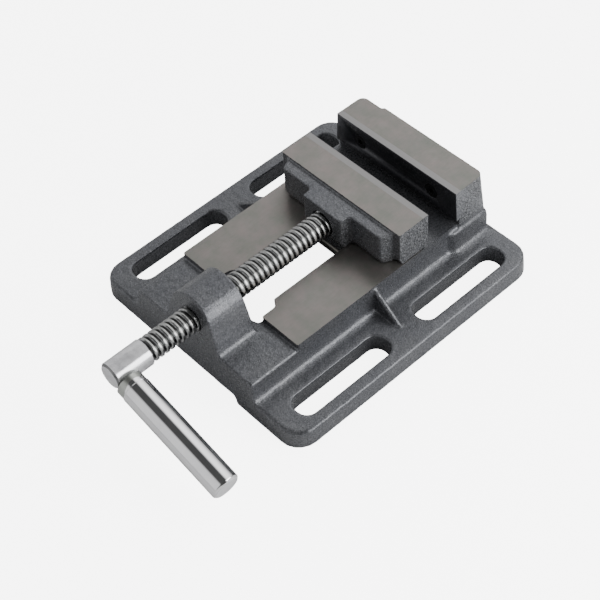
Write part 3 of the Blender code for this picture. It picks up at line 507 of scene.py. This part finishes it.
def mark_machined(mesh, planes):
    """Give the second material to the faces that lie in one of the machined planes.

    The ways keep their paint from PAINTED_FROM to the fixed jaw.
    """
    count = len(mesh.polygons)
    centres = np.empty(count * 3)
    mesh.polygons.foreach_get("center", centres)
    normals = np.empty(count * 3)
    mesh.polygons.foreach_get("normal", normals)
    centres = centres.reshape(-1, 3)
    normals = normals.reshape(-1, 3)
    slots = np.zeros(count, dtype=np.int32)
    for axis, level in planes:
        flat = (abs(centres[:, axis] - level) < SNAP) & (abs(normals[:, axis]) > FLAT)
        flat &= (centres[:, 1] < PAINTED_FROM) | (centres[:, 2] > PLATE_FOOT)
        slots[flat] = 1
    mesh.polygons.foreach_set("material_index", slots)


def base_casting():
    faces = [(2, WAY_TOP, 1), (2, 0.0, -1), (2, JAW_TOP, 1), (1, FIXED_SEAT, -1)]
    cuts = [((-REACH, WAY_FROM, WAY_TOP), (REACH, WAY_TO, PLATE_FOOT)),
            ((-REACH, -REACH, -REACH), (REACH, REACH, 0)),
            ((-REACH, -JAW_CUT, JAW_TOP), (REACH, JAW_CUT, REACH)),
            ((-REACH, -SEAT_CUT, PLATE_FOOT), (REACH, FIXED_SEAT, REACH))]
    return casting("base_body", "base_casting", BASE_VOXEL, faces, cuts)


def movable_jaw():
    faces = [(2, JAW_TOP, 1), (1, MOVING_SEAT, 1)]
    cuts = [((-REACH, -REACH, JAW_TOP), (REACH, REACH, REACH)),
            ((-REACH, MOVING_SEAT, PLATE_FOOT), (REACH, REACH, REACH))]
    return casting("jaw_body", "movable_jaw", JAW_VOXEL, faces, cuts)


def eased(name, node, width, material):
    """Copy of a CAD node with small rounded edges."""
    piece = link(name, NODES[node].data.copy())
    weld = piece.modifiers.new("weld", "WELD")
    weld.merge_threshold = WELD
    bevel = piece.modifiers.new("edges", "BEVEL")
    bevel.width = width
    bevel.segments = 2
    bevel.limit_method = "ANGLE"
    bevel.angle_limit = EASED_ANGLE
    take_shape(piece)
    use_materials(piece, material)
    piece.data.shade_smooth()
    piece.data.set_sharp_from_angle(angle=EASED_SHARP)
    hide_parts(node)
    return piece


def jaw_plate(name, node, grip, back, ends):
    """Copy of a jaw plate: it meets its casting flush, and its gripping face has eased edges.

    grip and back are the levels in Y of its gripping face and of its seat; ends are the half
    widths of the casting at the plate's top and foot.
    """
    mesh = NODES[node].data.copy()
    low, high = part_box(node)
    shape = bmesh.new()
    shape.from_mesh(mesh)
    bmesh.ops.remove_doubles(shape, verts=shape.verts, dist=WELD)
    weight = shape.edges.layers.float.new("bevel_weight_edge")
    for edge in shape.edges:
        if all(abs(vert.co.y - grip) < SNAP for vert in edge.verts):
            middle = (edge.verts[0].co + edge.verts[1].co) / 2
            rim = (middle.x - low.x, high.x - middle.x, middle.z - low.z, high.z - middle.z)
            edge[weight] = float(min(rim) < SNAP)
    away = math.copysign(1, back - grip)
    for vert in shape.verts:
        if (vert.co.y - back) * away > -PLATE_SEAT_DEPTH:
            vert.co.y = back + SNAP * away
        if min(vert.co.x - low.x, high.x - vert.co.x) < SNAP:
            end = ends[0] if vert.co.z > (low.z + high.z) / 2 else ends[1]
            vert.co.x = math.copysign(end, vert.co.x)
    shape.to_mesh(mesh)
    shape.free()
    piece = link(name, mesh)
    bevel = piece.modifiers.new("edges", "BEVEL")
    bevel.width = PLATE_EDGE
    bevel.segments = 2
    bevel.limit_method = "WEIGHT"
    take_shape(piece)
    use_materials(piece, PLATE, PLATE_TOP, PAINT)
    for face in piece.data.polygons:
        if face.normal.z > 0.9 and face.center.z > JAW_TOP - MM:
            face.material_index = 1
        elif abs(face.normal.x) > 0.9 and face.area > PLATE_END_AREA:
            face.material_index = 2
    piece.data.shade_smooth()
    piece.data.set_sharp_from_angle(angle=MACHINED_SHARP)
    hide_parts(node)
    return piece


def turned(name, profile, steps=ROUND_STEPS):
    """Solid of revolution about Z; the profile runs down its outer side, top to bottom."""
    shape = bmesh.new()
    verts = [shape.verts.new((radius, 0, z)) for radius, z in profile]
    edges = [shape.edges.new(pair) for pair in zip(verts, verts[1:])]
    bmesh.ops.spin(shape, geom=verts + edges, cent=(0, 0, 0), axis=(0, 0, 1),
                   angle=2 * math.pi, steps=steps)
    bmesh.ops.remove_doubles(shape, verts=shape.verts, dist=WELD)
    bmesh.ops.recalc_face_normals(shape, faces=shape.faces)
    mesh = bpy.data.meshes.new(name)
    shape.to_mesh(mesh)
    shape.free()
    return mesh


def rounded_corner(profile, index, radius, steps=3):
    """Profile with one corner replaced by a short arc."""
    before, corner, after = (Vector(profile[i]) for i in (index - 1, index, index + 1))
    start = corner + (before - corner).normalized() * radius
    end = corner + (after - corner).normalized() * radius
    arc = []
    for step in range(steps + 1):
        t = step / steps
        arc.append(tuple(start * (1 - t) ** 2 + corner * 2 * t * (1 - t) + end * t ** 2))
    return profile[:index] + arc + profile[index + 1:]


def thread(name, low, high):
    """Right-hand rounded trapezoidal thread about Z, cut square at low and high."""
    start = (math.floor(low / PITCH) - SPARE_TURNS) * PITCH
    turns = math.ceil((high - low) / PITCH) + 2 * SPARE_TURNS
    shape = bmesh.new()
    verts = [shape.verts.new((THREAD_RADIUS - depth * MM, 0, start + along * MM))
             for depth, along in THREAD_LINE]
    edges = [shape.edges.new(pair) for pair in zip(verts, verts[1:])]
    bmesh.ops.spin(shape, geom=verts + edges, cent=(0, 0, 0), axis=(0, 0, 1),
                   dvec=(0, 0, PITCH / THREAD_STEPS), angle=2 * math.pi * turns,
                   steps=THREAD_STEPS * turns)
    bmesh.ops.remove_doubles(shape, verts=shape.verts, dist=WELD)
    for height, side in ((low, -1), (high, 1)):
        geometry = shape.verts[:] + shape.edges[:] + shape.faces[:]
        bmesh.ops.bisect_plane(shape, geom=geometry, plane_co=(0, 0, height),
                               plane_no=(0, 0, side), clear_outer=True)
        rim = [edge for edge in shape.edges if edge.is_boundary
               and all(abs(vert.co.z - height) < SNAP for vert in edge.verts)]
        bmesh.ops.holes_fill(shape, edges=rim, sides=0)
    bmesh.ops.recalc_face_normals(shape, faces=shape.faces)
    mesh = bpy.data.meshes.new(name)
    shape.to_mesh(mesh)
    shape.free()
    return mesh


def lead_screw():
    """Head, thread and journal as one piece on the screw's axis."""
    thread_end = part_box("movable_jaw")[0].y + THREAD_IN_JAW - HEAD_FRONT
    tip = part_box("lead_screw")[1].y - HEAD_FRONT
    piece = link("screw", thread("screw", HEAD_LENGTH - MM, thread_end))
    head = [(0, HEAD_LENGTH), (HEAD_RADIUS - HEAD_BACK_CHAMFER, HEAD_LENGTH),
            (HEAD_RADIUS, HEAD_LENGTH - HEAD_BACK_CHAMFER), (HEAD_RADIUS, HEAD_CHAMFER),
            (HEAD_RADIUS - HEAD_CHAMFER, 0), (0, 0)]
    boolean(piece, turned("head", head), "UNION")
    journal = [(0, tip), (JOURNAL_RADIUS - JOURNAL_CHAMFER, tip),
               (JOURNAL_RADIUS, tip - JOURNAL_CHAMFER), (JOURNAL_RADIUS, thread_end - MM),
               (0, thread_end - MM)]
    boolean(piece, turned("journal", journal), "UNION")
    bore = SPIGOT_RADIUS + SNAP
    far = 2 * HEAD_RADIUS
    hole = turned("hole", [(0, far), (bore, far), (bore, -far), (0, -far)])
    hole.transform(SCREW_FRAME.inverted() @ BAR_FRAME)
    boolean(piece, hole, "DIFFERENCE")
    tidy_cuts(piece.data)
    piece.data.transform(SCREW_FRAME)
    use_materials(piece, SCREW_ZINC)
    piece.data.shade_smooth()
    piece.data.set_sharp_from_angle(angle=MACHINED_SHARP)
    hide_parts("lead_screw")
    return piece


def handle():
    """Chrome bar with a chamfered end and a spigot through the screw's head."""
    line = [(0, BAR_REACH), (BAR_RADIUS - BAR_CHAMFER, BAR_REACH),
            (BAR_RADIUS, BAR_REACH - BAR_CHAMFER), (BAR_RADIUS, NECK_END + NECK_SLOPE),
            (BAR_RADIUS - NECK_STEP, NECK_END), (BAR_RADIUS - NECK_STEP, NECK_START),
            (SPIGOT_RADIUS, NECK_START)]
    line += [(share * SPIGOT_RADIUS, depth - HEAD_RADIUS) for share, depth in SPIGOT_END]
    for corner in (5, 2, 1):  # the neck's start and both ends of the chamfer, last one first
        line = rounded_corner(line, corner, BAR_EDGE)
    mesh = turned("handle", line)
    mesh.transform(BAR_FRAME)
    piece = link("handle", mesh)
    use_materials(piece, CHROME)
    mesh.shade_smooth()
    mesh.set_sharp_from_angle(angle=MACHINED_SHARP)
    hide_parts("handle_bar")
    return piece


def floor():
    """Pale floor that the camera sees, on a duller one that the part is lit by."""
    low, high = (-FLOOR_REACH, -FLOOR_REACH), (FLOOR_REACH, FLOOR_REACH)
    seen = link("floor", box("floor", (*low, -FLOOR_THICKNESS), (*high, 0)))
    pale = Material("pale_floor")
    pale.set(Base_Color=(0.95, 0.95, 0.95, 1), Roughness=0.9, Emission_Color=(1, 1, 1, 1),
             Emission_Strength=FLOOR_GLOW)
    use_materials(seen, pale.material)
    seen.visible_diffuse = False
    seen.visible_glossy = False
    seen.visible_shadow = False
    lit = link("bounce", box("bounce", (*low, -2 * FLOOR_THICKNESS), (*high, -MM)))
    dull = Material("dull_floor")
    dull.set(Base_Color=(0.85, 0.85, 0.85, 1), Roughness=0.9)
    use_materials(lit, dull.material)
    lit.visible_camera = False


def key_light():
    """Softbox at the right, aimed at the vise; the camera doesn't see it."""
    data = bpy.data.lights.new("key", "AREA")
    data.shape = "RECTANGLE"
    data.size, data.size_y = KEY_SIZE
    data.energy = KEY_RADIANCE * math.pi * data.size * data.size_y
    lamp = link("key", data)
    lamp.location = KEY_PLACE
    lamp.rotation_mode = "QUATERNION"
    lamp.rotation_quaternion = (Vector(KEY_TARGET) - lamp.location).to_track_quat("-Z", "Y")
    lamp.visible_camera = False


def sky():
    """Dark studio with a pale card in front, one at the left and a broad light behind.

    It is seen from the part: each card is a range of directions, along X, Y and Z.
    """
    world = bpy.data.worlds.new("studio")
    world.use_nodes = True
    nodes, links = world.node_tree.nodes, world.node_tree.links
    split = nodes.new("ShaderNodeSeparateXYZ")
    links.new(nodes.new("ShaderNodeTexCoord").outputs["Generated"], split.inputs[0])

    def step(axis, start, end, level):
        """0 to level along an axis of the view direction, from start to end."""
        node = nodes.new("ShaderNodeMapRange")
        node.interpolation_type = "SMOOTHSTEP"
        for name, number in (("From Min", start), ("From Max", end), ("To Max", level)):
            node.inputs[name].default_value = number
        links.new(split.outputs[axis], node.inputs["Value"])
        return node.outputs["Result"]

    def combine(kind, first, second=None):
        node = nodes.new("ShaderNodeMath")
        node.operation = kind
        links.new(first, node.inputs[0])
        if second:
            links.new(second, node.inputs[1])
        return node

    behind = combine("MULTIPLY", step("Y", 0.18, 0.52, 1.0), step("Z", 0.0, 0.78, 2.0))
    front = combine("MULTIPLY", step("Y", -0.43, -0.68, 0.92), step("X", 0.60, -0.10, 1.0))
    cards = combine("MAXIMUM", front.outputs[0], step("X", -0.40, -0.75, 0.80))
    light = combine("MAXIMUM", behind.outputs[0], cards.outputs[0])
    studio = combine("ADD", light.outputs[0])
    studio.inputs[1].default_value = STUDIO_DARK
    links.new(studio.outputs[0], nodes["Background"].inputs["Strength"])
    nodes["Background"].inputs["Color"].default_value = (1, 1, 1, 1)
    bpy.context.scene.world = world


def camera():
    data = bpy.data.cameras.new("camera")
    data.sensor_width = SENSOR_WIDTH
    data.lens = FOCAL_LENGTH
    data.shift_x, data.shift_y = LENS_SHIFT
    data.clip_start = 0.01
    piece = link("camera", data)
    piece.matrix_world = CAMERA_PLACE
    bpy.context.scene.camera = piece


PAINT = cast_paint()
GROUND = machined_iron()
PLATE = plate_steel("plate_face", (0.08, 0.081, 0.090))
PLATE_TOP = plate_steel("plate_top", (0.29, 0.285, 0.285))
ZINC = bright_zinc("bright_zinc")
SCREW_ZINC = bright_zinc("screw_zinc", True)
CHROME = polished_chrome()
BLACK = black_oxide()

for node, cad in NODES.items():
    black = node.startswith(("jaw_plate_screw", "keeper_bolt", "retaining_ring"))
    use_materials(cad, BLACK if black else ZINC)
moving_grip = MOVING_SEAT + FIXED_SEAT
for piece, body, slot in (
        (base_casting(), "base", "cast"),
        (movable_jaw(), "jaw", "cast"),
        (jaw_plate("fixed_plate", "fixed_jaw_plate", 0, FIXED_SEAT, FIXED_ENDS), "base", "plate"),
        (jaw_plate("moving_plate", "movable_jaw_plate", moving_grip, MOVING_SEAT, MOVING_ENDS),
         "jaw", "plate"),
        (eased("keeper", "keeper_plate", KEEPER_EDGE, GROUND), "jaw", "black"),
        (lead_screw(), "screw", "zinc"),
        (handle(), "screw", "chrome")):
    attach(piece, body)

floor()
sky()
key_light()
camera()
